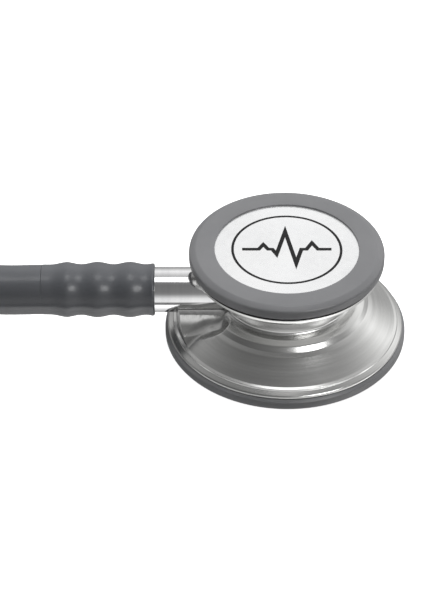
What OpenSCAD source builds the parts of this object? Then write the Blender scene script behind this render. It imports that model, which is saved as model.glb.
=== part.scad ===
// Two-sided stethoscope, lying on its large side. Millimetres, +Z up.
// Origin: centre of the large contact face. The stem and the tube leave towards -X.

/* [Chestpiece] */
// Radius of the large steel lip
large_r = 23.05; // [21:0.05:26]
// Radius of the small steel lip
small_r = 18.35; // [17:0.05:20]
// Radius of the neck between the two sides
neck_r = 12.7; // [11.5:0.1:13.6]
// Height over both soft rims
head_h = 20.8; // [20.4:0.1:23]
// Height of the stem's axis above the contact face
stem_z = 10.5; // [10.3:0.1:10.9]
// Radius of the sound channel along the axis
channel_r = 1.6; // [1.2:0.1:1.9]

/* [Soft rims and diaphragms] */
// How far the large rim stands out past its lip
large_over = 0.45; // [0.2:0.05:1]
// How far the small rim stands out past its lip
small_over = 0.5; // [0.2:0.05:1]
// Thickness of both diaphragms
membrane_t = 0.35; // [0.25:0.05:0.45]
// Travel of the large diaphragm when it is pressed
large_press = 0.3; // [0.2:0.05:0.4]
// Travel of the small diaphragm when it is pressed
small_press = 0.25; // [0.15:0.05:0.3]
// Radius of the small diaphragm's visible face
small_face_r = 13.9; // [13:0.1:14.6]

/* [Stem] */
// Radius of the polished stem
stem_r = 4.43; // [4:0.01:4.6]
// Radius of the stem's journal inside the body
journal_r = 3.4; // [3.2:0.05:3.6]
// How far the polished stem shows beyond the large flange, up to the tube's moulded end
stem_show = 2.45; // [1.95:0.05:4.45]
// Length of the barbed end inside the tube
barb_l = 18; // [14:0.5:18.5]
// Radius of the detent ball
ball_r = 0.9; // [0.8:0.05:0.95]

/* [Tube] */
// Outer diameter of the tube
tube_d = 9.75; // [9:0.05:10.4]
// Height of the soft ribs
rib_h = 0.45; // [0:0.05:0.6]

/* [Headset] */
// Angle between each tube leg and the middle
splay = 12; // [10:0.5:14]
// Distance from the tube's end to the two pivots
pivot_x = 24; // [23:0.5:28]
// Distance of each pivot from the middle
pivot_y = 5.2; // [5:0.1:6.5]
// Length of a tube leg
leg_l = 60; // [52:1:66]
// Radius of a tube leg at the pivot
leg_r = 4.2; // [4:0.05:4.6]
// Outer radius of the ear tubes
ear_r = 2.8; // [2.5:0.05:3.1]
// Wall of the ear tubes
ear_wall = 0.8; // [0.5:0.05:1]
// How far an ear tube goes into its leg
ear_in = 16; // [12:1:20]
// Largest radius of an eartip
tip_r = 6.2; // [5.2:0.1:7]
// Length of an eartip
tip_l = 13; // [12:0.5:16]

/* [Hidden] */
$fn = 96;
over = 1;                              // how far a cut runs past the face it opens
stem_out = large_r + stem_show;        // where the polished part ends, from the axis

steel = "lightgray";
soft_grey = "dimgray";

// Large side, measured up from the contact face
rim_lip = 0.45;                        // the rim's lip under the diaphragm's edge
land_z = rim_lip + membrane_t + large_press;
lip_z = land_z + 1.25;                 // underside of the steel lip
lip_t = 0.75;
clip_r = large_r - 1.85;               // wall that the large rim clips onto
face_r = clip_r - 1.6;                 // the rim's opening round the large diaphragm
ceiling_z = land_z + 2.2;              // middle of the large bell
gap = 0.3;                             // round each diaphragm

// Small side, measured down from the top
small_lip = 0.35;
small_land = head_h - small_lip - membrane_t - small_press;
small_top = small_land - 2.2;          // upper side of the small steel lip
small_clip = small_r - 1.5;
small_floor = small_land - 2.6;

// Stem
fit = 0.05;                            // radial clearance of the journal in its bore
seat_gap = 0.1;                        // radial clearance of the stem in its seat
bore_r = journal_r + fit;
bore_end = 5.2;
shoulder_x = 10.7;
seat_x = shoulder_x - 0.3;
barb_r = 3.6;
ring_x = 3.7;                          // middle of the retaining ring
ring_w = 0.7;
o_x = -7.6;                            // middle of the O-ring
o_r = 0.5;
ball_x = -4.4;
ball_off = journal_r + 0.3;            // from the stem's axis to the ball's middle
ball_z = stem_z - ball_off;
screw_r = 1.25;
screw_z = ball_z - ball_r - 1.7;       // seat of the spring, top of the screw
screw_t = 0.9;

// Tube
tube_r = tube_d / 2;
rest_z = tube_r + 0.025;               // height of a tube's middle where it lies
rib_pitch = 6.3;
rib_first = 4.9;
route = [
    [-47.5, 0, stem_z], [-57, 0, stem_z], [-69, 0, 12.1], [-81, 0, 14.4], [-92, 0, 15.2],
    [-103, 0, 14.2], [-116, 0.5, 11], [-131, 4, 7.5], [-145, 13, 5.3], [-155, 27, rest_z],
    [-158, 44, rest_z], [-155, 61, rest_z], [-145, 75, rest_z], [-131, 85, rest_z], [-114, 88, rest_z],
    [-97, 85, rest_z], [-83, 75, rest_z], [-73, 61, rest_z], [-70, 44, rest_z], [-72, 29, rest_z],
    [-78, 16, rest_z], [-87, 4, rest_z], [-98, -4, rest_z], [-112, -10, rest_z], [-126, -12, rest_z],
    [-134, -12, rest_z],
];
grip_x = -route[0][0];
grip_l = grip_x - stem_out;             // length of the moulded, ribbed end

// Headset, in its own frame: x runs from the tube's end to the eartips
socket_gap = 0.3;
lumen_r = 1.9;
leg_end_r = leg_r - 0.3;
leaf_t = 0.5;
leaf_h = 4;
leaf_bend = 2.2;                       // radius of the spring's bend
leaf_off = leg_r - 1.2;                // from a leg's axis to the strip
leaf_l = 34;                           // how far the strip runs into a leg
leaf_x = (leaf_bend + leaf_off + pivot_x * sin(splay) - pivot_y * cos(splay)) / sin(splay);
ear_inner = ear_r - ear_wall;
leg_way = [cos(splay), sin(splay), 0];
leg_from = [pivot_x, pivot_y, rest_z];
leg_to = leg_from + leg_l * leg_way;
ear_bow = [
    [22, 7, 4.2], [40, 15, 3.2], [58, 24, 2.95], [76, 32, 2.95], [94, 38.5, 2.95], [112, 41, 2.95],
    [129, 39, 2.95], [143, 32, 3.6], [153, 21, 5.6], [159, 10.5, 8.2],
];
ear_path = smooth(concat(
    [leg_to - ear_in * leg_way, leg_to - ear_in / 2 * leg_way, leg_to, leg_to + 8 * leg_way],
    [for (p = ear_bow) [leg_to[0] + p[0], leg_to[1] + p[1], p[2] - 2.8 + ear_r]]
), 3);
ear_last = len(ear_path) - 1;
tip_at = ear_path[ear_last];
tip_way = unit(ear_path[ear_last] - ear_path[ear_last - 1]);
thread_r = ear_r - 0.5;
collar_t = 1.2;

function unit(v) = v / norm(v);

// The corner at b, between a and c, as an arc of radius f
function arc(a, b, c, f, n = 5) =
    let (u = unit(a - b), v = unit(c - b), half = acos(u * v) / 2, turn = 180 - 2 * half,
         middle = b + unit(u + v) * f / sin(half),
         p = b + u * f / tan(half) - middle, q = b + v * f / tan(half) - middle)
    [for (i = [0:n]) middle + (sin((1 - i / n) * turn) * p + sin(i / n * turn) * q) / sin(turn)];

// A closed outline of [x, y, radius] corners, each rounded to its radius
function rounded(c) = [
    for (i = [0:len(c) - 1])
        let (n = len(c), a = c[(i + n - 1) % n], b = c[i], d = c[(i + 1) % n])
            for (p = b[2] > 0 ? arc([a[0], a[1]], [b[0], b[1]], [d[0], d[1]], b[2]) : [[b[0], b[1]]]) p
];

// A curve through points, with n steps from each point to the next
function smooth(p, n) = concat([
    for (i = [0:len(p) - 2], k = [0:n - 1])
        let (t = k / n, b = p[i], c = p[i + 1],
             a = i > 0 ? p[i - 1] : 2 * b - c, d = i < len(p) - 2 ? p[i + 2] : 2 * c - b)
        b + t / 2 * (c - a) + t * t / 2 * (2 * a - 5 * b + 4 * c - d)
            + t * t * t / 2 * (3 * b - a - 3 * c + d)
], [p[len(p) - 1]]);

function tangent(p, i) = unit(p[min(i + 1, len(p) - 1)] - p[max(i - 1, 0)]);

// The rings of a tube of radius r along the path p, none of it upright
function rings(p, r, sides) = [
    for (i = [0:len(p) - 1])
        let (t = tangent(p, i), side = unit(cross(t, [0, 0, 1])), up = cross(side, t))
            for (k = [0:sides - 1])
                p[i] + r * (cos(360 * k / sides) * side + sin(360 * k / sides) * up)
];

// The walls between rings, each ring of s points, starting at point from
function walls(n, s, from = 0) = [
    for (i = [0:n - 2], k = [0:s - 1])
        let (j = (k + 1) % s, a = from + i * s)
            each [[a + k, a + s + k, a + s + j], [a + k, a + s + j, a + j]]
];

module solid_tube(path, r, sides = 10) {
    n = len(path);
    polyhedron(
        points = rings(path, r, sides),
        faces = concat(
            walls(n, sides),
            [[for (k = [0:sides - 1]) k]],
            [[for (k = [sides - 1:-1:0]) (n - 1) * sides + k]]
        )
    );
}

module hollow_tube(path, r_out, r_in, sides = 12) {
    n = len(path);
    inner = n * sides;
    last = (n - 1) * sides;
    polyhedron(
        points = concat(rings(path, r_out, sides), rings(path, r_in, sides)),
        faces = concat(
            walls(n, sides),
            [for (f = walls(n, sides, inner)) [f[2], f[1], f[0]]],
            [for (k = [0:sides - 1]) let (j = (k + 1) % sides)
                each [[k, j, inner + j], [k, inner + j, inner + k]]],
            [for (k = [0:sides - 1]) let (j = (k + 1) % sides, a = last, b = inner + last)
                each [[a + k, b + k, b + j], [a + k, b + j, a + j]]]
        )
    );
}

// Turned about Z from an outline of [radius, height, corner radius]
module turned(outline) {
    rotate_extrude() polygon(rounded(outline));
}

// Turned about the stem's axis: heights run towards the tube, from the chestpiece's axis
module turned_on_stem(outline) {
    translate([0, 0, stem_z]) rotate([0, -90, 0]) turned(outline);
}

module stem_bore(r, from, to) {
    translate([from, 0, stem_z]) rotate([0, 90, 0]) cylinder(r = r, h = to - from);
}

// Carries a headset piece, modelled on the left, to its place
module headset(side = 1) {
    end = route[len(route) - 1];
    translate([end[0], end[1], 0]) rotate([0, 0, 180]) mirror([0, side < 0 ? 1 : 0, 0])
        children();
}

// From the pivot, along the leg
module on_leg() {
    translate(leg_from) rotate([0, 90, splay]) children();
}

// From the ear tube's end, outwards
module on_tip() {
    translate(tip_at) rotate([0, acos(tip_way[2]), atan2(tip_way[1], tip_way[0])]) children();
}

/* Chestpiece */

module seat_block() {
    top = 8.9;
    intersection() {
        translate([-large_r, 0, 0]) rotate([90, 0, 90]) linear_extrude(large_r - neck_r + 2)
            polygon([
                [-9.4, 3.4], [-8.2, 4.6], [-7.1, 5.9], [-6.3, 7.3], [-5.9, top],
                [5.9, top], [6.3, 7.3], [7.1, 5.9], [8.2, 4.6], [9.4, 3.4],
            ]);
        translate([0, 0, 3.2]) cylinder(r = large_r - 1.65, h = top);
    }
}
module seat_groove(side) {
    cutter_r = 4.3;
    nose_x = -neck_r - 2.1;
    translate([nose_x, side * 9.4, 11.2]) {
        sphere(r = cutter_r);
        rotate([0, -90, 0]) cylinder(r = cutter_r, h = large_r);
    }
}

module chestpiece_body() {
    color(steel) difference() {
        union() {
            turned([
                [channel_r, ceiling_z, 0], [5.5, ceiling_z, 0], [face_r - 0.2, land_z + 0.5, 0],
                [face_r - 0.2, land_z, 0], [clip_r, land_z, 0], [clip_r, land_z + 0.35, 0],
                [clip_r - 0.3, land_z + 0.5, 0], [clip_r - 0.3, land_z + 0.8, 0],
                [clip_r, land_z + 0.95, 0], [clip_r, lip_z, 0],
                [large_r, lip_z, 0.1], [large_r, lip_z + lip_t - 0.3, 0.4],
                [large_r - 1, lip_z + lip_t + 0.25, 0.1], [large_r - 1.07, lip_z + lip_t + 0.58, 0.1],
                [large_r - 1.6, lip_z + lip_t + 0.8, 0.8], [neck_r + 4.3, 7.4, 2],
                [neck_r + 3.45, 7.95, 0.5], [neck_r + 2.7, 8.85, 0.5], [neck_r + 1.6, 9.4, 1],
                [neck_r, 9.8, 0.6], [neck_r, 12.9, 2],
                [small_r - 0.75, small_top - 0.85, 0.2], [small_r - 0.08, small_top - 0.65, 0.08],
                [small_r, small_top, 0.08], [small_clip, small_top, 0],
                [small_clip, small_top + 0.8, 0], [small_clip - 0.3, small_top + 0.95, 0],
                [small_clip - 0.3, small_top + 1.25, 0], [small_clip, small_top + 1.4, 0],
                [small_clip, small_land, 0], [small_clip - 1.8, small_land, 0],
                [small_clip - 1.8, small_land - 0.4, 0], [4, small_floor, 0], [channel_r, small_floor, 0],
            ]);
            seat_block();
        }
        seat_groove(1);
        seat_groove(-1);
        stem_bore(bore_r, -neck_r - over, bore_end);
        stem_bore(stem_r + seat_gap, -large_r - over, -seat_x);
        stem_bore(journal_r + 0.45, ring_x - ring_w / 2 - 0.1, ring_x + ring_w / 2 + 0.1);
        translate([ball_x, 0, screw_z - over])
            cylinder(r = ball_r + 0.08, h = stem_z - bore_r / 2 - screw_z + over, $fn = 32);
        translate([ball_x, 0, screw_z - screw_t - over]) cylinder(r = screw_r, h = screw_t + over, $fn = 32);
    }
}

module large_rim() {
    rim_r = large_r + large_over;
    color(soft_grey) turned([
        [face_r, 0, 0.12], [rim_r - 0.7, 0, 0.35], [rim_r, 0.9, 0.5], [rim_r, lip_z - 0.55, 0.3],
        [large_r, lip_z - 0.12, 0.1], [clip_r, lip_z - 0.12, 0],
        [clip_r, land_z + 0.95, 0], [clip_r - 0.3, land_z + 0.8, 0], [clip_r - 0.3, land_z + 0.5, 0],
        [clip_r, land_z + 0.35, 0], [clip_r, rim_lip, 0], [face_r, rim_lip, 0],
    ]);
}

module large_diaphragm() {
    edge_r = clip_r - gap;
    pan_r = face_r - gap;
    color("whitesmoke") turned([
        [0, 0, 0], [pan_r, 0, 0], [pan_r, rim_lip, 0], [edge_r, rim_lip, 0],
        [edge_r, rim_lip + membrane_t, 0], [pan_r - 0.3, rim_lip + membrane_t, 0],
        [pan_r - 0.5, membrane_t, 0], [0, membrane_t, 0],
    ]);
}

module small_rim() {
    rim_r = small_r + small_over;
    color(soft_grey) turned([
        [small_face_r, head_h - small_lip, 0], [small_clip, head_h - small_lip, 0],
        [small_clip, small_top + 1.4, 0], [small_clip - 0.3, small_top + 1.25, 0],
        [small_clip - 0.3, small_top + 0.95, 0], [small_clip, small_top + 0.8, 0],
        [small_clip, small_top + 0.25, 0], [small_r + 0.15, small_top + 0.25, 0.1],
        [rim_r, small_top + 0.85, 0.4], [rim_r, head_h - 0.7, 0.6],
        [rim_r - 1.25, head_h, 0.8], [small_face_r, head_h, 0.12],
    ]);
}

module small_diaphragm() {
    under = head_h - small_lip - membrane_t;
    color("whitesmoke") translate([0, 0, under]) cylinder(r = small_clip - gap, h = membrane_t);
}

/* Stem and detent */

module stem() {
    end = stem_out + barb_l;
    track = ball_r + 0.06;
    color("white") difference() {
        turned_on_stem([
            [0, -4.6, 0], [journal_r - 0.3, -4.6, 0], [journal_r, -4.3, 0],
            [journal_r, -ring_x - ring_w / 2, 0], [journal_r - 0.6, -ring_x - ring_w / 2, 0],
            [journal_r - 0.6, -ring_x + ring_w / 2, 0], [journal_r, -ring_x + ring_w / 2, 0],
            [journal_r, -o_x - o_r - 0.1, 0], [journal_r - 0.95, -o_x - o_r - 0.1, 0],
            [journal_r - 0.95, -o_x + o_r + 0.1, 0], [journal_r, -o_x + o_r + 0.1, 0],
            [journal_r, shoulder_x, 0], [stem_r, shoulder_x, 0.2], [stem_r, stem_out, 0],
            [barb_r, stem_out, 0], [barb_r, end - 3, 0], [barb_r + 0.35, end - 3, 0],
            [barb_r - 0.6, end, 0], [0, end, 0],
        ]);
        stem_bore(channel_r, -end - over, channel_r);
        translate([0, 0, stem_z - journal_r - over]) cylinder(r = channel_r, h = journal_r + over);
        translate([ball_x, 0, stem_z]) rotate([0, 90, 0]) rotate_extrude()
            translate([ball_off, 0]) circle(r = track, $fn = 32);
        for (end = [-1, 1]) translate([ball_x, 0, stem_z + end * (ball_off - 0.15)])
            sphere(r = track + 0.12, $fn = 32);
    }
}

module stem_o_ring() {
    color("black") translate([o_x, 0, stem_z]) rotate([0, 90, 0]) rotate_extrude()
        translate([journal_r - 0.95 + o_r, 0]) circle(r = o_r, $fn = 32);
}

module stem_retaining_ring() {
    color("gray") difference() {
        stem_bore(journal_r + 0.35, ring_x - ring_w / 2 + 0.05, ring_x + ring_w / 2 - 0.05);
        stem_bore(journal_r - 0.55, ring_x - ring_w, ring_x + ring_w);
        translate([ring_x - ring_w, -1, stem_z]) cube([2 * ring_w, 2, 2 * journal_r]);
    }
}

module detent_ball() {
    color("silver") translate([ball_x, 0, ball_z]) sphere(r = ball_r, $fn = 48);
}

module detent_spring() {
    wire_r = 0.15;
    coil_r = 0.6;
    turns = 3;
    steps = 12;
    height = ball_z - ball_r - screw_z - 2 * wire_r - 0.02;
    sides = 6;
    n = turns * steps;
    points = [
        for (i = [0:n], k = [0:sides - 1])
            let (a = 360 * i / steps, b = 360 * k / sides, r = coil_r + wire_r * cos(b))
            [r * cos(a), r * sin(a), height * i / n + wire_r * sin(b)]
    ];
    color("silver") translate([ball_x, 0, screw_z + wire_r + 0.01]) polyhedron(
        points = points,
        faces = concat(
            [for (f = walls(n + 1, sides)) [f[2], f[1], f[0]]],
            [[for (k = [sides - 1:-1:0]) k]],
            [[for (k = [0:sides - 1]) n * sides + k]]
        )
    );
}

module detent_screw() {
    color("gray") translate([ball_x, 0, screw_z - screw_t]) difference() {
        cylinder(r = screw_r, h = screw_t, $fn = 32);
        translate([0, 0, -over]) cylinder(r = 0.6, h = over + 0.5, $fn = 6);
    }
}

/* Tube */

module main_tube() {
    color(soft_grey) solid_tube(smooth(route, 2), tube_r);
}

function grip_r(x) =
    let (fade = min(1, max(0, (grip_l - x) / 5)))
    tube_r + fade * (0.33 + rib_h / 2 * cos(360 * (x - rib_first) / rib_pitch));

module tube_end_grip() {
    steps = 44;
    end = grip_l - 0.01;
    color(soft_grey) difference() {
        turned_on_stem(concat(
            [[0, stem_out, 0]],
            [for (i = [0:steps]) let (x = i / steps * grip_l) [grip_r(x), stem_out + x, 0]],
            [[0, grip_x, 0]]
        ));
        turned_on_stem([
            [0, stem_out - over, 0], [barb_r, stem_out - over, 0], [barb_r, stem_out + barb_l - 3, 0],
            [barb_r + 0.35, stem_out + barb_l - 3, 0], [barb_r - 0.6, stem_out + barb_l, 0],
            [channel_r, stem_out + barb_l, 0], [channel_r, stem_out + end, 0], [0, stem_out + end, 0],
        ]);
    }
}

module tube_yoke() {
    fork_x = pivot_x - 4;
    color(soft_grey) difference() {
        headset() hull() {
            translate([0, 0, rest_z]) rotate([0, 90, 0]) cylinder(r = tube_r, h = 2, $fn = 32);
            for (side = [-1, 1]) translate([fork_x - 1, side * (pivot_y - 0.6), rest_z])
                sphere(r = tube_r, $fn = 32);
        }
        headset() for (side = [-1, 1]) mirror([0, side < 0 ? 1 : 0, 0]) {
            translate(leg_from) sphere(r = leg_r + socket_gap);
            translate([8, 0, rest_z]) rotate([0, 90, atan2(pivot_y, pivot_x - 8)])
                cylinder(r = lumen_r, h = norm([pivot_y, pivot_x - 8]));
        }
        headset() translate([4, 0, rest_z]) rotate([0, 90, 0]) cylinder(r = lumen_r, h = 5);
        headset() leaf_shape(0.1);
    }
}

// A leg's outline: the round end at the pivot, the taper, and the bore that the ear tube goes into
module tube_leg(side) {
    from = acos(lumen_r / leg_r);
    color(soft_grey) headset(side) difference() {
        on_leg() turned(concat(
            [for (i = [0:8]) let (a = from * (i / 8 - 1)) [leg_r * cos(a), leg_r * sin(a), 0]],
            [[leg_end_r, leg_l, 0.3], [ear_r, leg_l, 0], [ear_r, leg_l - ear_in, 0],
             [lumen_r, leg_l - ear_in, 0]]
        ));
        leaf_shape(0.1);
    }
}

/* Headset */

// The bent strip, grown by a clearance for its slots
module leaf_shape(grow) {
    half = leaf_t / 2 + grow;
    reach = leaf_l + (leaf_x - pivot_x) + grow;
    bend = [for (a = [90 + splay:(180 - 2 * splay) / 12:270 - splay]) a];
    way = [cos(splay), sin(splay)];
    function edge(r) = [for (a = bend) [leaf_x + r * cos(a), r * sin(a)]];
    function ends(r, s) = [leaf_x - r * sin(splay), s * r * cos(splay)] + reach * [way[0], s * way[1]];
    outer = leaf_bend + half;
    inner = leaf_bend - half;
    translate([0, 0, rest_z - leaf_h / 2 - grow]) linear_extrude(leaf_h + 2 * grow)
        polygon(concat(
            [ends(outer, 1)], edge(outer), [ends(outer, -1), ends(inner, -1)],
            [for (i = [12:-1:0]) edge(inner)[i]], [ends(inner, 1)]
        ));
}

module leaf_spring() {
    color("silver") headset() leaf_shape(0);
}

module ear_tube(side) {
    color("lightsteelblue") headset(side) hollow_tube(ear_path, ear_r, ear_inner);
}

module ear_tube_end(side) {
    color("silver") headset(side) on_tip() turned([
        [1.2, -5, 0], [ear_inner - 0.1, -5, 0], [ear_inner - 0.1, 0, 0], [ear_r, 0, 0],
        [ear_r, collar_t, 0.2], [thread_r - 0.3, collar_t, 0], [thread_r - 0.3, 2.6, 0],
        [thread_r, 2.9, 0], [thread_r, 3.5, 0], [thread_r - 0.3, 3.8, 0], [thread_r - 0.3, 4.8, 0],
        [thread_r, 5.1, 0], [thread_r, 5.7, 0], [thread_r - 0.5, 6.6, 0], [1.2, 6.6, 0],
    ]);
}

module eartip(side) {
    color("dimgray") headset(side) on_tip() turned([
        [thread_r - 0.3, collar_t, 0], [tip_r - 2.9, collar_t, 0.3], [tip_r - 2.5, collar_t + 3.2, 0.8],
        [tip_r, collar_t + 4.2, 1], [tip_r - 0.6, tip_l - 2.2, 2.6], [2.6, tip_l + collar_t, 0.8],
        [1.4, tip_l + collar_t, 0.3], [1.4, 6.8, 0], [thread_r - 0.5, 6.6, 0], [thread_r, 5.7, 0],
        [thread_r, 5.1, 0], [thread_r - 0.3, 4.8, 0], [thread_r - 0.3, 3.8, 0], [thread_r, 3.5, 0],
        [thread_r, 2.9, 0], [thread_r - 0.3, 2.6, 0],
    ]);
}

chestpiece_body();
large_diaphragm();
large_rim();
small_diaphragm();
small_rim();
stem();
stem_o_ring();
stem_retaining_ring();
detent_ball();
detent_spring();
detent_screw();
main_tube();
tube_end_grip();
tube_yoke();
tube_leg(1);  // left_tube_leg
tube_leg(-1);  // right_tube_leg
leaf_spring();
ear_tube(1);  // left_ear_tube
ear_tube(-1);  // right_ear_tube
ear_tube_end(1);  // left_ear_tube_end
ear_tube_end(-1);  // right_ear_tube_end
eartip(1);  // left_eartip
eartip(-1);  // right_eartip
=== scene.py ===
# %% [markdown]
# # A two-sided stethoscope
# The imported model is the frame: it fixes every size, place and joint. This lesson puts the finished
# surfaces on it. Soft and visible parts get a new, smooth mesh in the same outline, and the small parts
# inside the chestpiece keep their own mesh and get a material.

# %% Load the frame
from math import atan2, cos, pi, radians, sin, tan

import bmesh
import bpy
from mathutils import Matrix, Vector


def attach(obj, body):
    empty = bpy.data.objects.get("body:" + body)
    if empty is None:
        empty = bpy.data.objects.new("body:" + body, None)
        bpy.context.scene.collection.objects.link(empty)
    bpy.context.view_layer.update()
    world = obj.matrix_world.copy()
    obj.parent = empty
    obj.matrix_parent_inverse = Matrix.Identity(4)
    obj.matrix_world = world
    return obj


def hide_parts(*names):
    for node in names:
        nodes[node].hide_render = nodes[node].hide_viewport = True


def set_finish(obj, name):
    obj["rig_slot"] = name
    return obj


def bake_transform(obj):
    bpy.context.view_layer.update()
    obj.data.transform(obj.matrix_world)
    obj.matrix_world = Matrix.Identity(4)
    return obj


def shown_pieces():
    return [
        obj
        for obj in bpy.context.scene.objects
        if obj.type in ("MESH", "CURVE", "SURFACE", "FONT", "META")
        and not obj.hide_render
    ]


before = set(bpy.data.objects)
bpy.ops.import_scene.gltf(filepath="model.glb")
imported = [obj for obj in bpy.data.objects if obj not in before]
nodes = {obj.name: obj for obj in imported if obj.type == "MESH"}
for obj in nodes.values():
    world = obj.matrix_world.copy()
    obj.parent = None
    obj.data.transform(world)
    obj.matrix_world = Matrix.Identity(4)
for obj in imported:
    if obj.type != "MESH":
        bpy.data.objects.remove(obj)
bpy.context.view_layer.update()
MM = 0.001

# %% [markdown]
# # The camera
# A long lens from a good half metre keeps the two discs nearly parallel, as in a catalogue picture. The
# chestpiece sits to the right of the middle, so the camera stands a little to its left and looks straight
# ahead: that needs no lens shift.

# %% Camera
TILT = radians(39.12)
REACH = 0.45
look = Vector((0, cos(TILT), -sin(TILT)))
upwards = Vector((0, sin(TILT), cos(TILT)))
aim = Vector((-14.39 * MM, 0, 11 * MM)) - 2.44 * MM * upwards
bpy.ops.object.camera_add(location=aim - REACH * look, rotation=(pi / 2 - TILT, 0, 0))
camera = bpy.context.object
camera.name = "camera"
camera.data.lens = 138.5
camera.data.sensor_width = 36
bpy.context.scene.camera = camera
print("camera at", [round(v, 4) for v in camera.location])

# %% [markdown]
# # The tube
# The tube is a fixed length of soft PVC, so it is a curve with a round section, not a bent cylinder. It
# leaves the moulded end straight, comes down to the table in a long low arch, turns back in one loop
# under that arch, and ends at the Y. The points are the same as in the solid model, and a smooth curve
# through them keeps the length true.

# %% Tube: a smooth curve through the route's points
ROUTE = [
    (-47.5, 0, 10.5), (-57, 0, 10.5), (-69, 0, 12.1), (-81, 0, 14.4), (-92, 0, 15.2),
    (-103, 0, 14.2), (-116, 0.5, 11), (-131, 4, 7.5), (-145, 13, 5.3), (-155, 27, 4.9),
    (-158, 44, 4.9), (-155, 61, 4.9), (-145, 75, 4.9), (-131, 85, 4.9), (-114, 88, 4.9),
    (-97, 85, 4.9), (-83, 75, 4.9), (-73, 61, 4.9), (-70, 44, 4.9), (-72, 29, 4.9),
    (-78, 16, 4.9), (-87, 4, 4.9), (-98, -4, 4.9), (-112, -10, 4.9), (-126, -12, 4.9),
    (-134, -12, 4.9),
]
TUBE_R = 4.875


def smooth(points, steps):
    """A curve through points, with this many steps from each one to the next."""
    p = [Vector(q) for q in points]
    line = []
    for i in range(len(p) - 1):
        b, c = p[i], p[i + 1]
        a = p[i - 1] if i else 2 * b - c
        d = p[i + 2] if i + 2 < len(p) else 2 * c - b
        for k in range(steps):
            t = k / steps
            line.append(
                b + t / 2 * (c - a) + t * t / 2 * (2 * a - 5 * b + 4 * c - d)
                + t**3 / 2 * (3 * b - a - 3 * c + d)
            )
    return line + [p[-1]]


def round_line(name, line, radii, sides=8):
    """A curve of one open spline with a round section; radii in mm, one for each point."""
    curve = bpy.data.curves.new(name, "CURVE")
    curve.dimensions = "3D"
    curve.bevel_depth = MM
    curve.bevel_resolution = sides
    curve.use_fill_caps = True
    spline = curve.splines.new("POLY")
    spline.points.add(len(line) - 1)
    for point, place, radius in zip(spline.points, line, radii):
        point.co = (*(place * MM), 1)
        point.radius = radius
    piece = bpy.data.objects.new(name, curve)
    bpy.context.scene.collection.objects.link(piece)
    return piece


def start_fresh():
    if bpy.context.object and bpy.context.object.mode != "OBJECT":
        bpy.ops.object.mode_set(mode="OBJECT")
    bpy.ops.object.select_all(action="DESELECT")


def choose(piece):
    """Makes a piece the only one selected, and the active one."""
    start_fresh()
    piece.select_set(True)
    bpy.context.view_layer.objects.active = piece


def to_mesh(piece):
    choose(piece)
    bpy.ops.object.convert(target="MESH")
    return bpy.context.object


tube_line = smooth(ROUTE, 6)
tube = to_mesh(round_line("tube_hose", tube_line, [TUBE_R] * len(tube_line), 10))
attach(tube, "tubing")
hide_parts("main_tube")
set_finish(tube, "grey_tube")

# %% [markdown]
# # Turning a part from its outline
# Nearly every part of a chestpiece comes off a lathe, so it is made the same way here: half of its
# section is drawn point by point, its corners are rounded one by one with a vertex bevel, and the line is
# spun once round its axis. A cylinder with edits would need a loop for each step, and this way the
# outline can be read like a drawing.

# %% Helpers: draw an outline and spin it
def pick(piece, test):
    """Selects the points of a mesh in edit mode whose place passes a test."""
    mesh = bmesh.from_edit_mesh(piece.data)
    for point in mesh.verts:
        point.select_set(bool(test(point.co)))
    mesh.select_flush_mode()
    bmesh.update_edit_mesh(piece.data)


def draw(name, corners, at=(0, 0, 0), across=(1, 0, 0), up=(0, 0, 1), closed=True):
    """A wire outline from (across, up, corner radius) in mm, left open in edit mode."""
    at, across, up = Vector(at), Vector(across), Vector(up)

    def place(corner):
        return (at + corner[0] * across + corner[1] * up) * MM

    start_fresh()
    bpy.ops.mesh.primitive_plane_add(size=MM, location=(0, 0, 0))
    piece = bpy.context.object
    piece.name = piece.data.name = name
    bpy.ops.object.mode_set(mode="EDIT")
    bpy.ops.mesh.select_all(action="SELECT")
    bpy.ops.mesh.merge(type="CENTER")
    bpy.ops.transform.translate(value=place(corners[0]))
    for a, b in zip(corners, corners[1:]):
        bpy.ops.mesh.extrude_vertices_move(TRANSFORM_OT_translate={"value": place(b) - place(a)})
    if closed:
        ends = (place(corners[0]), place(corners[-1]))
        pick(piece, lambda co: min((co - end).length for end in ends) < 1e-7)
        bpy.ops.mesh.edge_face_add()
    for i, corner in enumerate(corners):
        if len(corner) > 2 and corner[2]:
            here, before = place(corner), place(corners[i - 1])
            after = place(corners[(i + 1) % len(corners)])
            half = (before - here).angle(after - here) / 2
            pick(piece, lambda co: (co - here).length < 1e-7)
            bpy.ops.mesh.bevel(
                affect="VERTICES", offset=corner[2] * MM / tan(half), segments=6, profile=0.5
            )
    bpy.ops.mesh.select_all(action="SELECT")
    return piece


def finish_mesh(piece, angle=32):
    """Merges doubles, points the faces outwards and shades all but the sharp edges smooth."""
    bpy.ops.mesh.select_all(action="SELECT")
    bpy.ops.mesh.remove_doubles(threshold=1e-7)
    bpy.ops.mesh.normals_make_consistent(inside=False)
    bpy.ops.object.mode_set(mode="OBJECT")
    bpy.ops.object.shade_smooth_by_angle(angle=radians(angle))
    return piece


def turn(piece, centre=(0, 0, 0), axis=(0, 0, 1), steps=160, angle=32):
    """Spins the drawn outline once round an axis, given in mm."""
    bpy.ops.mesh.spin(steps=steps, angle=2 * pi, center=Vector(centre) * MM, axis=axis)
    return finish_mesh(piece, angle)


def combine(piece, other, operation):
    """Joins, cuts or keeps the overlap with another closed mesh, which is used up."""
    choose(piece)
    modifier = piece.modifiers.new(operation.lower(), "BOOLEAN")
    modifier.object, modifier.operation, modifier.solver = other, operation, "EXACT"
    bpy.ops.object.modifier_apply(modifier=modifier.name)
    bpy.data.objects.remove(other)
    return piece


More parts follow.
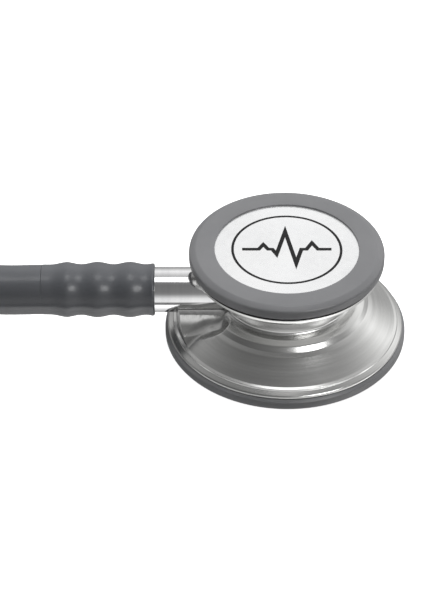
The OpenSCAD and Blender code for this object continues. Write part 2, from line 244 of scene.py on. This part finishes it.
def drill(piece, radius, depth, at, rotation=(0, 0, 0), sides=48):
    """Cuts a round hole out of a piece, its middle at a place in mm."""
    start_fresh()
    bpy.ops.mesh.primitive_cylinder_add(
        vertices=sides, radius=radius * MM, depth=depth * MM,
        location=[v * MM for v in at], rotation=rotation,
    )
    return combine(piece, bpy.context.object, "DIFFERENCE")


def size_of(piece):
    size = [round(v / MM, 1) for v in piece.dimensions]
    return f"{piece.name}: {len(piece.data.polygons)} faces, {size} mm"


# %% [markdown]
# # The chestpiece
# One stainless bar is turned to both bells, the neck between them and the shallow steps on the large
# cone. The lip of the large side shows as a thin bright line over its rim, so its edge radius matters
# more than anything else here.

# %% Chestpiece: the turned body
LARGE_R, SMALL_R, NECK_R, STEM_Z = 23.05, 18.35, 12.7, 10.5
CONE_R, CONE_Z, CONE_RISE = 21.45, 3.9, 0.7667


def cone_z(r):
    """Height of the large cone at a radius."""
    return CONE_Z + (CONE_R - r) * CONE_RISE


cone = [(20.6 - 0.36 * i, cone_z(20.6 - 0.36 * i)) for i in range(7)]
body = turn(draw("chestpiece_steel", [
    (1.6, 3.3), (5.5, 3.3), (19.4, 1.6), (19.4, 1.1), (21.2, 1.1), (21.2, 1.45), (20.9, 1.6),
    (20.9, 1.9), (21.2, 2.05), (21.2, 2.35), (LARGE_R, 2.35, 0.1), (LARGE_R, 2.8, 0.5),
    (22.05, 3.35, 0.1), (21.98, 3.68, 0.1), (CONE_R, CONE_Z, 0.8), *cone, (17.0, 7.4, 2.2),
    (16.15, 7.95, 0.8), (15.4, 8.85, 0.8), (14.3, 9.4, 1.6), (NECK_R + 0.05, 9.8, 0.7), (NECK_R, 12.9, 2), (17.6, 16.8, 0.2),
    (18.27, 17.0, 0.08), (SMALL_R, 17.65, 0.08), (16.85, 17.65), (16.85, 18.45), (16.55, 18.6), (16.55, 18.9), (16.85, 19.05), (16.85, 19.8),
    (15.05, 19.8), (15.05, 19.45), (4, 17.25), (1.6, 17.25),
]), steps=360)
print(size_of(body))

# %% [markdown]
# The stem lies on a boss that stands a little out of the cone, and a ball-nosed cutter runs along each side
# of it. Booleans would leave knife edges there, where the real one is blended by blasting. So the points
# of the cone are pushed instead: up to the boss, down to the cutter, with a smooth step between the two.
# The bores follow as cuts: one wide for the stem's polished part, and one close for its journal.

# %% Chestpiece: the stem's boss and bores
def soft_min(a, b, width):
    """The smaller of two heights, with a round step of this width where they meet."""
    h = min(1, max(0, 0.5 + 0.5 * (b - a) / width))
    return b + (a - b) * h - width * h * (1 - h)


def soft_max(a, b, width):
    return -soft_min(-a, -b, width)


BOSS_TOP, BOSS_END = 8.9, 21.4
CUT_R, CUT_Y, CUT_NOSE = 4.3, 10.2, -14.8
RUNOUT_Y, LEDGE_Z, SADDLE_Y, SADDLE_R = 8.2, 7.1, 13, 12.75


def in_saddle(x, y, z):
    """The part of the cone, the ledge and the cove that the boss and the cutter reach."""
    beside_stem = x < -3 and abs(y) < SADDLE_Y
    return beside_stem and SADDLE_R < (x * x + y * y) ** 0.5 < BOSS_END and 3.6 < z < 12


def saddle_z(x, y, z):
    """The new height of a point of the saddle."""
    near = min(CUT_R, max(0, CUT_Y - abs(y)))
    far, past = max(0, abs(y) - RUNOUT_Y), max(0, x - CUT_NOSE)
    wall = BOSS_TOP - (CUT_R**2 - near**2) ** 0.5
    ground = soft_min(cone_z((x * x + y * y) ** 0.5), LEDGE_Z, 2)
    cut = soft_max(wall + (far**2 + past**2) / 3, ground, 2.4) + far**2 / 6
    new_z = soft_max(soft_min(z, cut, 0.8), wall - far * 1.2, 1.6) if near < CUT_R else BOSS_TOP
    return min(new_z, BOSS_TOP) if abs(y) < CUT_Y - CUT_R + 0.3 else new_z


choose(body)
bpy.ops.object.mode_set(mode="EDIT")
pick(body, lambda co: in_saddle(*(co / MM)))
bpy.ops.mesh.subdivide(number_cuts=2)
bpy.ops.object.mode_set(mode="OBJECT")
for point in body.data.vertices:
    place = point.co / MM
    if in_saddle(*place):
        point.co.z = saddle_z(*place) * MM
for radius, start, end in ((3.45, -14, 5.2), (4.53, -30, -10.4), (3.85, 3.25, 4.15)):
    drill(body, radius, end - start, ((start + end) / 2, 0, STEM_Z), (0, pi / 2, 0), 96)
drill(body, 0.98, 8, (-4.4, 0, 5.2))
choose(body)
bpy.ops.object.shade_smooth_by_angle(angle=radians(32))
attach(body, "chestpiece")
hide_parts("chestpiece_body")
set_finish(body, "satin_steel")
print(size_of(body))

# %% [markdown]
# # Rims and diaphragms
# A soft ring snaps over each steel flange and holds a thin disc by its edge. The rings are full and
# rounded, and the small one has a broad flat top with a soft shoulder.

# %% Rims and diaphragms
large_rim = turn(draw("large_soft_rim", [
    (19.6, 0, 0.12), (23.3, 0, 0.3), (23.6, 0.45, 0.3), (23.6, 1.75, 0.3), (LARGE_R, 2.23, 0.1),
    (21.2, 2.23), (21.2, 2.05), (20.9, 1.9), (20.9, 1.6), (21.2, 1.45), (21.2, 0.45), (19.6, 0.45),
]))
large_disc = turn(draw("large_disc", [
    (0, 0), (19.3, 0, 0.1), (19.3, 0.45), (20.9, 0.45), (20.9, 0.8), (19.0, 0.8), (18.8, 0.35), (0, 0.35),
], closed=False))
small_rim = turn(draw("small_soft_rim", [
    (13.9, 20.45), (16.85, 20.45), (16.85, 19.05), (16.55, 18.9), (16.55, 18.6), (16.85, 18.45),
    (16.85, 18), (18.3, 18, 0.08), (18.85, 18.5, 0.4), (18.85, 20.1, 0.6), (17.6, 20.8, 0.8),
    (13.9, 20.8, 0.12),
]))
DISC_Z = 20.45
small_disc = turn(draw("small_disc", [
    (0, 20.1), (16.55, 20.1), (16.55, DISC_Z), (0, DISC_Z),
], closed=False))
for piece, body_name, node, slot in (
    (large_rim, "chestpiece", "large_rim", "soft_rim"),
    (large_disc, "large_side", "large_diaphragm", "membrane"),
    (small_rim, "chestpiece", "small_rim", "soft_rim"),
    (small_disc, "small_side", "small_diaphragm", "membrane"),
):
    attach(piece, body_name)
    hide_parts(node)
    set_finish(piece, slot)
    print(size_of(piece))

# %% [markdown]
# # The print on the small disc
# The disc carries a thin printed ring with a plain pulse line in it. Ink has next to no height, so both
# are drawn as flat outlines and raised by two hundredths of a millimetre.

# %% Printed ring and pulse line
def stroke(points, width):
    """The outline of a line of even width, with mitred corners, all on one level."""
    p = [Vector(q) for q in points]
    left, right = [], []
    for i, here in enumerate(p):
        before = (here - p[i - 1]).normalized() if i else (p[1] - here).normalized()
        after = (p[i + 1] - here).normalized() if i + 1 < len(p) else before
        side = Vector((-before.y, before.x)) + Vector((-after.y, after.x))
        side = side.normalized() * width / 2 / max(0.2, cos(before.angle(after) / 2))
        left.append(here + side)
        right.append(here - side)
    return [tuple(q) for q in left + right[::-1]]


PULSE = [(-8.6, 0), (-5.4, 0), (-4.5, 1.5), (-3.6, 0), (-2.8, 0), (-2, -1.6), (-0.2, 5.6), (1.7, -4.4),
         (2.8, 0), (3.8, 0), (4.9, 2), (6, 0), (8.6, 0)]
INK_T = 0.02
ring = turn(draw("printed_ring", [
    (10.2, DISC_Z), (10.7, DISC_Z), (10.7, DISC_Z + INK_T), (10.2, DISC_Z + INK_T),
]))
pulse = draw("printed_pulse", stroke(PULSE, 0.8), at=(0, 0, DISC_Z), up=(0, 1, 0))
bpy.ops.mesh.edge_face_add()
bpy.ops.mesh.extrude_region_move(TRANSFORM_OT_translate={"value": (0, 0, INK_T * MM)})
finish_mesh(pulse)
for piece in (ring, pulse):
    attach(piece, "small_side")
    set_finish(piece, "seal_rubber")
    print(size_of(piece))

# %% [markdown]
# # The stem and the tube's moulded end
# The stem is a polished tube. Inside the chestpiece it has the grooves for its seal, its split ring and
# the detent ball, and inside the tube it ends in a barb. The moulded end of the tube is a little thicker,
# with soft waves that give the fingers a hold.

# %% Stem
STEM_OUT, STEM_R, JOURNAL = 25.5, 4.43, 3.4
stem = turn(draw("stem_polished", [
    (4.6, 1.6), (4.6, 3.1), (4.3, JOURNAL), (4.05, JOURNAL), (4.05, 2.8), (3.35, 2.8), (3.35, JOURNAL),
    (-3.5, JOURNAL), (-4.4, 2.75), (-5.3, JOURNAL), (-7.0, JOURNAL), (-7.0, 2.45), (-8.2, 2.45),
    (-8.2, JOURNAL), (-10.7, JOURNAL), (-10.7, STEM_R, 0.2), (-STEM_OUT, STEM_R), (-STEM_OUT, 3.6),
    (-40.5, 3.6), (-40.5, 3.95), (-43.5, 3.0), (-43.5, 1.6),
], at=(0, 0, STEM_Z)), (0, 0, STEM_Z), (1, 0, 0), 128)
drill(stem, 1.6, 6, (0, 0, STEM_Z - 3))
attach(stem, "tubing")
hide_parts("stem")
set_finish(stem, "polished_steel")
print(size_of(stem))

# %% Moulded end of the tube
GRIP_L = 22


def grip_r(x):
    """Radius at x mm from the end: soft waves that fade into the plain tube."""
    fade = min(1, max(0, (GRIP_L - x) / 5))
    return TUBE_R + fade * (0.33 + 0.225 * cos(2 * pi * (x - 4.9) / 6.3))


waves = [(-STEM_OUT - x, grip_r(x)) for x in (GRIP_L * i / 66 for i in range(2, 67))]
grip = turn(draw("tube_grip", [
    (-STEM_OUT, 3.62), (-STEM_OUT, grip_r(0), 0.45), *waves, (-47.5, 1.6), (-43.5, 1.6), (-43.5, 3.1),
    (-40.5, 3.98), (-40.5, 3.62),
], at=(0, 0, STEM_Z)), (0, 0, STEM_Z), (1, 0, 0), 96)
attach(grip, "tubing")
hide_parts("tube_end_grip")
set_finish(grip, "grey_tube")
print(size_of(grip))

# %% [markdown]
# # The Y
# The tube splits into two legs in one smooth moulding. The legs are drawn as lines with a changing
# radius, fused by a fine remesh, and relaxed until the fork is a soft web. Then the moulding is cut along
# its middle into two halves.

# %% Y: two legs, fused and relaxed
END = Vector(ROUTE[-1])
SPLAY, PIVOT, LEG_L = radians(12), Vector((24, 5.2, 4.9)), 60
leg_way = Vector((cos(SPLAY), sin(SPLAY), 0))
leg_to = PIVOT + LEG_L * leg_way


def in_row(points, side):
    """From the headset's own frame, x away from the tube, to the row frame, in mm."""
    return [Vector((END.x - p[0], END.y - side * p[1], p[2])) for p in points]


legs = []
for side in (1, -1):
    line = smooth([(0, 0, 4.9), (5, 0.15, 4.9), (11, 1.3, 4.9), (17, 3.15, 4.9), tuple(PIVOT),
                   tuple(PIVOT + 20 * leg_way), tuple(PIVOT + 40 * leg_way), tuple(leg_to)], 6)
    radii = [TUBE_R - 0.65 * min(1, p.x / 24) - 0.3 * min(1, max(0, (p.x - 24) / 50)) for p in line]
    legs.append(to_mesh(round_line("leg", in_row(line, side), radii, 12)))
start_fresh()
bpy.ops.mesh.primitive_uv_sphere_add(
    segments=32, ring_count=16, radius=MM, location=((END.x - 18) * MM, END.y * MM, 4.9 * MM),
)
web = bpy.context.object
web.scale = (7.5, 4.6, 3.9)
for leg in legs:
    leg.select_set(True)
bpy.ops.object.join()
bpy.ops.object.transform_apply(location=True, rotation=True, scale=True)
fork = bpy.context.object
modifier = fork.modifiers.new("fuse", "REMESH")
modifier.mode, modifier.voxel_size = "VOXEL", 0.42 * MM
bpy.ops.object.modifier_apply(modifier=modifier.name)
modifier = fork.modifiers.new("relax", "SMOOTH")
modifier.factor, modifier.iterations = 0.5, 14
bpy.ops.object.modifier_apply(modifier=modifier.name)
print(size_of(fork))

# %% Y: its two halves
for name, side in (("left", 1), ("right", -1)):
    choose(fork)
    bpy.ops.object.duplicate()
    half = bpy.context.object
    half.name = half.data.name = f"{name}_tube_branch"
    bpy.ops.object.mode_set(mode="EDIT")
    bpy.ops.mesh.select_all(action="SELECT")
    bpy.ops.mesh.bisect(
        plane_co=(0, END.y * MM, 0), plane_no=(0, side, 0), use_fill=True, clear_outer=True
    )
    finish_mesh(half, 40)
    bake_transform(half)
    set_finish(half, "grey_tube")
    print(size_of(half))
bpy.data.objects.remove(fork)
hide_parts("left_tube_leg", "tube_yoke")
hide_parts("right_tube_leg", "tube_yoke")

# %% [markdown]
# # The leaf spring
# A flat strip of spring steel lies in the crotch of the Y and pushes the ear tubes together. It is made in
# two halves.

# %% Leaf spring
LEAF_T, LEAF_H, LEAF_BEND = 0.5, 4, 2.2
leaf_x = (LEAF_BEND + 3.0 + PIVOT.x * sin(SPLAY) - PIVOT.y * cos(SPLAY)) / sin(SPLAY)
for name, side in (("left", 1), ("right", -1)):
    edges = []
    for r in (LEAF_BEND + LEAF_T / 2, LEAF_BEND - LEAF_T / 2):
        turns = [pi - (pi / 2 - SPLAY) * k / 8 for k in range(9)]
        line = [(leaf_x + r * cos(a), r * sin(a)) for a in turns]
        far = Vector((leaf_x - r * sin(SPLAY), r * cos(SPLAY))) + (34 + leaf_x - PIVOT.x) * leg_way.xy
        edges.append(line + [tuple(far)])
    outline = [(END.x - x, END.y - side * y) for x, y in edges[0] + edges[1][::-1]]
    strip = draw(f"{name}_leaf_spring", outline, at=(0, 0, 4.9 - LEAF_H / 2), up=(0, 1, 0))
    bpy.ops.mesh.edge_face_add()
    bpy.ops.mesh.extrude_region_move(TRANSFORM_OT_translate={"value": (0, 0, LEAF_H * MM)})
    bpy.ops.mesh.select_all(action="SELECT")
    finish_mesh(strip)
    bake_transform(strip)
    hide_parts("leaf_spring")
    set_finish(strip, "spring_steel")
    print(size_of(strip))

# %% [markdown]
# # The headset
# The ear tubes are bent from one length of light metal tube each, so they are lines with a round section,
# turned into a mesh. A turned end closes each one, and a soft tip snaps onto its thread.

# %% Ear tubes, their ends and the eartips
EAR_R = 2.8
BOW = [(22, 7, 4.2), (40, 15, 3.2), (58, 24, 2.95), (76, 32, 2.95), (94, 38.5, 2.95), (112, 41, 2.95),
       (129, 39, 2.95), (143, 32, 3.6), (153, 21, 5.6), (159, 10.5, 8.2)]
ear_points = [leg_to + k * leg_way for k in (-16, -8, 0, 8)]
ear_points += [Vector((leg_to.x + x, leg_to.y + y, z)) for x, y, z in BOW]
rough_line = smooth(ear_points, 3)
tip_at, tip_way = rough_line[-1], (rough_line[-1] - rough_line[-2]).normalized()


def set_on_tip(piece, side):
    """Carries a part from the Z axis to the end of an ear tube."""
    at = in_row([tip_at], side)[0]
    way = Vector((-tip_way.x, -side * tip_way.y, tip_way.z))
    choose(piece)
    piece.rotation_euler = way.to_track_quat("Z", "Y").to_euler()
    piece.location = at * MM
    bpy.ops.object.transform_apply(location=True, rotation=True, scale=True)


for name, side in (("left", 1), ("right", -1)):
    line = smooth(ear_points, 8)
    ear = to_mesh(round_line(f"{name}_ear_pipe", in_row(line, side), [EAR_R] * len(line), 10))
    end = turn(draw(f"{name}_pipe_end", [
        (1.2, -5), (1.9, -5), (1.9, 0), (EAR_R, 0, 0.08), (EAR_R, 1.2, 0.2), (2.0, 1.2), (2.0, 2.6),
        (2.3, 2.9), (2.3, 3.5), (2.0, 3.8), (2.0, 4.8), (2.3, 5.1), (2.3, 5.7), (1.8, 6.6), (1.2, 6.6),
    ]), steps=64)
    tip = turn(draw(f"{name}_soft_tip", [
        (2.02, 1.2), (3.3, 1.2, 0.3), (3.7, 4.4, 0.8), (6.2, 5.4, 1), (5.6, 10.8, 2.6), (2.6, 14.2, 0.8),
        (1.4, 14.2, 0.3), (1.4, 6.8), (1.82, 6.6), (2.32, 5.7), (2.32, 5.1), (2.02, 4.8), (2.02, 3.8),
        (2.32, 3.5), (2.32, 2.9), (2.02, 2.6),
    ]), steps=64)
    set_on_tip(end, side)
    set_on_tip(tip, side)
    for piece, node, slot in ((ear, "ear_tube", "ear_tube_metal"), (end, "ear_tube_end", "ear_tube_metal"),
                              (tip, "eartip", "eartip_rubber")):
        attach(piece, f"{name}_arm")
        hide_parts(f"{name}_{node}")
        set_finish(piece, slot)
        print(size_of(piece))

# %% [markdown]
# # Finishes
# Every finish starts from the same shader and differs in its numbers, and in the pattern that breaks up
# its colour, its gloss and its surface. The patterns read object coordinates, in metres, so a scale of
# 1000 means one wave in about a millimetre.

# %% Helpers: shaders and patterns
def shader_of(name, colour, roughness, metallic=0.0, **sockets):
    material = bpy.data.materials.new(name)
    material.use_nodes = True
    shader = material.node_tree.nodes["Principled BSDF"]
    shader.inputs["Base Color"].default_value = (*colour, 1)
    shader.inputs["Roughness"].default_value = roughness
    shader.inputs["Metallic"].default_value = metallic
    for socket, value in sockets.items():
        shader.inputs[socket.replace("_", " ")].default_value = value
    return material


def add(material, kind, inputs=None, **settings):
    node = material.node_tree.nodes.new(kind)
    for key, value in settings.items():
        setattr(node, key, value)
    for key, value in (inputs or {}).items():
        if isinstance(value, bpy.types.NodeSocket):
            material.node_tree.links.new(value, node.inputs[key])
        else:
            node.inputs[key].default_value = value
    return node


def ring_vector(material, axis, at=(0, 0, 0)):
    """(radius, height, a little of the angle): what a lathe's marks follow."""
    place = add(material, "ShaderNodeTexCoord").outputs["Object"]
    moved = add(material, "ShaderNodeVectorMath", {0: place, 1: at}, operation="SUBTRACT").outputs[0]
    parts = add(material, "ShaderNodeSeparateXYZ", {0: moved}).outputs
    a, b, height = (parts[0], parts[1], parts[2]) if axis == "Z" else (parts[1], parts[2], parts[0])
    flat = add(material, "ShaderNodeCombineXYZ", {0: a, 1: b}).outputs[0]
    radius = add(material, "ShaderNodeVectorMath", {0: flat}, operation="LENGTH").outputs["Value"]
    faint = add(material, "ShaderNodeMath", {0: a, 1: 0.02}, operation="MULTIPLY").outputs[0]
    return add(material, "ShaderNodeCombineXYZ", {0: radius, 1: height, 2: faint}).outputs[0]


def pattern(material, scale, detail=4, vector=None, rough=0.55):
    vector = vector or add(material, "ShaderNodeTexCoord").outputs["Object"]
    return add(material, "ShaderNodeTexNoise", {"Vector": vector, "Scale": scale, "Detail": detail,
                                                "Roughness": rough}).outputs["Fac"]


def vary_colour(material, factor, dark, light):
    mix = add(material, "ShaderNodeMix", data_type="RGBA")
    spread = add(material, "ShaderNodeMapRange", {"Value": factor, "From Min": 0.3, "From Max": 0.7})
    links = material.node_tree.links
    links.new(spread.outputs[0], mix.inputs["Factor"])
    mix.inputs[6].default_value = (*dark, 1)
    mix.inputs[7].default_value = (*light, 1)
    links.new(mix.outputs[2], material.node_tree.nodes["Principled BSDF"].inputs["Base Color"])


def vary_roughness(material, factor, low, high):
    spread = add(material, "ShaderNodeMapRange",
                 {"Value": factor, "From Min": 0.3, "From Max": 0.7, "To Min": low, "To Max": high})
    material.node_tree.links.new(
        spread.outputs[0], material.node_tree.nodes["Principled BSDF"].inputs["Roughness"])


def raise_surface(material, *layers):
    """Bumps from (pattern, height in mm, strength) layers, the coarse ones first."""
    normal = None
    for factor, height, strength in layers:
        bump = add(material, "ShaderNodeBump",
                   {"Height": factor, "Distance": height * MM, "Strength": strength})
        if normal:
            material.node_tree.links.new(normal, bump.inputs["Normal"])
        normal = bump.outputs["Normal"]
    material.node_tree.links.new(normal, material.node_tree.nodes["Principled BSDF"].inputs["Normal"])


def tangent_round_z(material):
    """Draws the highlight out across marks that run round the Z axis."""
    tangent = add(material, "ShaderNodeTangent", direction_type="RADIAL", axis="Z").outputs[0]
    material.node_tree.links.new(
        tangent, material.node_tree.nodes["Principled BSDF"].inputs["Tangent"])


def paint(material, *pieces):
    for piece in pieces:
        if piece.data.materials:
            for i in range(len(piece.material_slots)):
                piece.material_slots[i].material = material
        else:
            piece.data.materials.append(material)
    print(material.name, "on", len(pieces), "pieces")


def by_slot(slot):
    return [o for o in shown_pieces() if o.get("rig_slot") == slot]


# %% [markdown]
# Satin steel is turned, then blasted lightly. Its marks run round the axis, so the highlight is drawn out
# across them: that is what the anisotropy and the radial tangent do. Polished steel has the same marks,
# but far finer.

# %% Steel
satin = shader_of("satin_steel", (0.62, 0.62, 0.6), 0.22, 1, Anisotropic=0.3)
tangent_round_z(satin)
marks = ring_vector(satin, "Z")
vary_colour(satin, pattern(satin, 900, 3, marks), (0.58, 0.58, 0.57), (0.66, 0.66, 0.65))
vary_roughness(satin, pattern(satin, 1500, 3, marks), 0.19, 0.25)
raise_surface(satin, (pattern(satin, 2600, 2, marks), 0.002, 0.2), (pattern(satin, 5200, 2), 0.001, 0.2))

polished = shader_of("polished_steel", (0.8, 0.8, 0.8), 0.1, 1)
marks = ring_vector(polished, "X", (0, 0, STEM_Z * MM))
vary_colour(polished, pattern(polished, 600, 3, marks), (0.76, 0.76, 0.77), (0.84, 0.84, 0.84))
vary_roughness(polished, pattern(polished, 300, 4), 0.07, 0.13)
raise_surface(polished, (pattern(polished, 2500, 2, marks), 0.002, 0.15))

spring = shader_of("spring_steel", (0.5, 0.5, 0.51), 0.28, 1)
vary_colour(spring, pattern(spring, 400), (0.45, 0.45, 0.46), (0.56, 0.56, 0.57))
vary_roughness(spring, pattern(spring, 900), 0.22, 0.36)
raise_surface(spring, (pattern(spring, 3000), 0.003, 0.2))

anodised = shader_of("ear_tube_metal", (0.72, 0.73, 0.74), 0.3, 1)
vary_colour(anodised, pattern(anodised, 250), (0.66, 0.67, 0.68), (0.76, 0.77, 0.78))
vary_roughness(anodised, pattern(anodised, 700), 0.26, 0.36)
raise_surface(anodised, (pattern(anodised, 4000, 3), 0.004, 0.2))

# %% [markdown]
# The rims are a smooth soft plastic with a faint sheen. The tube is duller, with a fine leathery grain
# from its mould and a few slow waves in its colour. The tips are the softest and darkest.

# %% Soft finishes
rim_finish = shader_of("soft_rim", (0.19, 0.19, 0.2), 0.38, Coat_Weight=0.15, Coat_Roughness=0.3)
vary_colour(rim_finish, pattern(rim_finish, 120), (0.215, 0.217, 0.226), (0.245, 0.246, 0.255))
vary_roughness(rim_finish, pattern(rim_finish, 500), 0.34, 0.44)
raise_surface(rim_finish, (pattern(rim_finish, 2600, 3), 0.006, 0.25))

hose_finish = shader_of("grey_tube", (0.125, 0.133, 0.147), 0.42, Coat_Weight=0.55, Coat_Roughness=0.2)
vary_colour(hose_finish, pattern(hose_finish, 60, 6), (0.088, 0.093, 0.104), (0.106, 0.112, 0.124))
vary_roughness(hose_finish, pattern(hose_finish, 350), 0.38, 0.5)
raise_surface(
    hose_finish, (pattern(hose_finish, 140, 2), 0.05, 0.2), (pattern(hose_finish, 2400, 3), 0.008, 0.3))

tip_finish = shader_of("eartip_rubber", (0.1, 0.1, 0.11), 0.5)
vary_colour(tip_finish, pattern(tip_finish, 200), (0.085, 0.085, 0.092), (0.115, 0.115, 0.124))
vary_roughness(tip_finish, pattern(tip_finish, 600), 0.44, 0.6)
raise_surface(tip_finish, (pattern(tip_finish, 2500, 3), 0.008, 0.3))

seal_finish = shader_of("seal_rubber", (0.03, 0.03, 0.03), 0.4, Specular_IOR_Level=0.15)
vary_colour(seal_finish, pattern(seal_finish, 700), (0.012, 0.012, 0.012), (0.018, 0.018, 0.019))
vary_roughness(seal_finish, pattern(seal_finish, 1200), 0.34, 0.5)
raise_surface(seal_finish, (pattern(seal_finish, 3500), 0.004, 0.3))

# %% [markdown]
# The discs are a thin glass-fibre laminate under a clear gloss: nearly white, with a weave that only just
# shows.

# %% Discs
laminate = shader_of(
    "membrane", (0.84, 0.85, 0.86), 0.25, 0.6, Anisotropic=0.6, Coat_Weight=0.3, Coat_Roughness=0.1)
tangent_round_z(laminate)
vary_colour(laminate, pattern(laminate, 90, 3), (0.9, 0.905, 0.91), (0.94, 0.942, 0.945))
vary_roughness(laminate, pattern(laminate, 800), 0.2, 0.32)
raise_surface(laminate, (pattern(laminate, 1800, 2), 0.0004, 0.05))

# %% Put the finishes on
paint(satin, *by_slot("satin_steel"))
paint(polished, *by_slot("polished_steel"), nodes["detent_ball"])
paint(spring, *by_slot("spring_steel"),
      *(nodes[name] for name in ("detent_spring", "detent_screw", "stem_retaining_ring")))
paint(anodised, *by_slot("ear_tube_metal"))
paint(rim_finish, *by_slot("soft_rim"))
paint(hose_finish, *by_slot("grey_tube"))
paint(tip_finish, *by_slot("eartip_rubber"))
paint(seal_finish, *by_slot("seal_rubber"), nodes["stem_o_ring"])
paint(laminate, *by_slot("membrane"))

# %% [markdown]
# # The studio
# Metal shows what stands round it, so the light comes first from the room: white walls down to the
# floor, and a greyer ceiling that gives the cone its middle tone. Two soft boxes add the clear
# highlights, and one more lights only what is matt. The floor glows a little to stay white and isn't
# reflected. A grey one just under it, which the camera can't see, sets how much light comes back up.

# %% Floor, room and lights
start_fresh()
bpy.ops.mesh.primitive_plane_add(size=6, location=(0, 0, -0.00005))
floor = bpy.context.object
floor.name = "floor"
floor_finish = shader_of(
    "pale_floor", (0.9, 0.9, 0.9), 0.9, Emission_Color=(1, 1, 1, 1), Emission_Strength=0.9)
vary_colour(floor_finish, pattern(floor_finish, 3), (0.89, 0.89, 0.89), (0.91, 0.91, 0.91))
paint(floor_finish, floor)
floor.visible_glossy = floor.visible_diffuse = False
start_fresh()
bpy.ops.mesh.primitive_plane_add(size=6, location=(0, 0, -0.0001))
bounce = bpy.context.object
bounce.name = "floor_bounce"
bounce_finish = shader_of("grey_floor", (0.35, 0.35, 0.35), 0.9)
vary_colour(bounce_finish, pattern(bounce_finish, 3), (0.34, 0.34, 0.34), (0.36, 0.36, 0.36))
paint(bounce_finish, bounce)
bounce.visible_glossy = bounce.visible_camera = False

world = bpy.data.worlds.new("room")
bpy.context.scene.world = world
world.use_nodes = True
links = world.node_tree.links
way = add(world, "ShaderNodeTexCoord").outputs["Generated"]
east, back, up = add(world, "ShaderNodeSeparateXYZ", {0: way}).outputs
front = add(world, "ShaderNodeMath", {0: back, 1: -1}, operation="MULTIPLY").outputs[0]
pitch = add(world, "ShaderNodeMath", {0: up, 1: front}, operation="ARCTAN2").outputs[0]
share = add(world, "ShaderNodeMapRange", {"Value": pitch, "From Min": -pi, "From Max": pi}).outputs[0]
walls = add(world, "ShaderNodeValToRGB", {0: share})
# Brightness of the room by its pitch in degrees: 0 is level in front, 90 straight up.
ROOM = [
    (-180, 0.5), (-100, 0.7), (-72, 1.4), (-61, 2.4), (-51, 2.2), (-44, 0.3), (-35, 0.2), (-27, 1.3),
    (-8, 1.1), (3, 0.7), (14, 0.35), (26, 0.27), (60, 0.24), (72, 0.3), (90, 0.5), (114, 0.8),
    (143, 1.35), (180, 0.5),
]
stops = walls.color_ramp.elements
stops[0].position, stops[1].position = 0, 1
for stop in (stops[0], stops[1]):
    stop.color = (ROOM[0][1],) * 3 + (1,)
for degrees, value in ROOM[1:-1]:
    stops.new((degrees + 180) / 360).color = (value, value, value, 1)
sideways = add(world, "ShaderNodeMapRange", {
    "Value": east, "From Min": -0.8, "From Max": 0.8, "To Min": 0.5, "To Max": 1.1,
})
links.new(walls.outputs[0], world.node_tree.nodes["Background"].inputs["Color"])
links.new(sideways.outputs[0], world.node_tree.nodes["Background"].inputs["Strength"])


def soft_box(name, at, size, power, glossy=True, diffuse=True):
    bpy.ops.object.light_add(type="AREA", location=at)
    light = bpy.context.object
    light.name = name
    light.data.shape, light.data.size, light.data.energy = "DISK", size, power
    light.rotation_euler = (-Vector(at)).to_track_quat("-Z", "Y").to_euler()
    light.visible_glossy, light.visible_diffuse = glossy, diffuse
    return light


soft_box("key_box", (0.55, -0.77, 0.74), 0.55, 4.2, diffuse=False)
soft_box("strip_box", (0.04, 0, 1.2), 0.55, 1.45, diffuse=False)
soft_box("top_box", (0, 0.3, 1.6), 1.2, 12, glossy=False)
bpy.context.scene.view_settings.view_transform = "Standard"
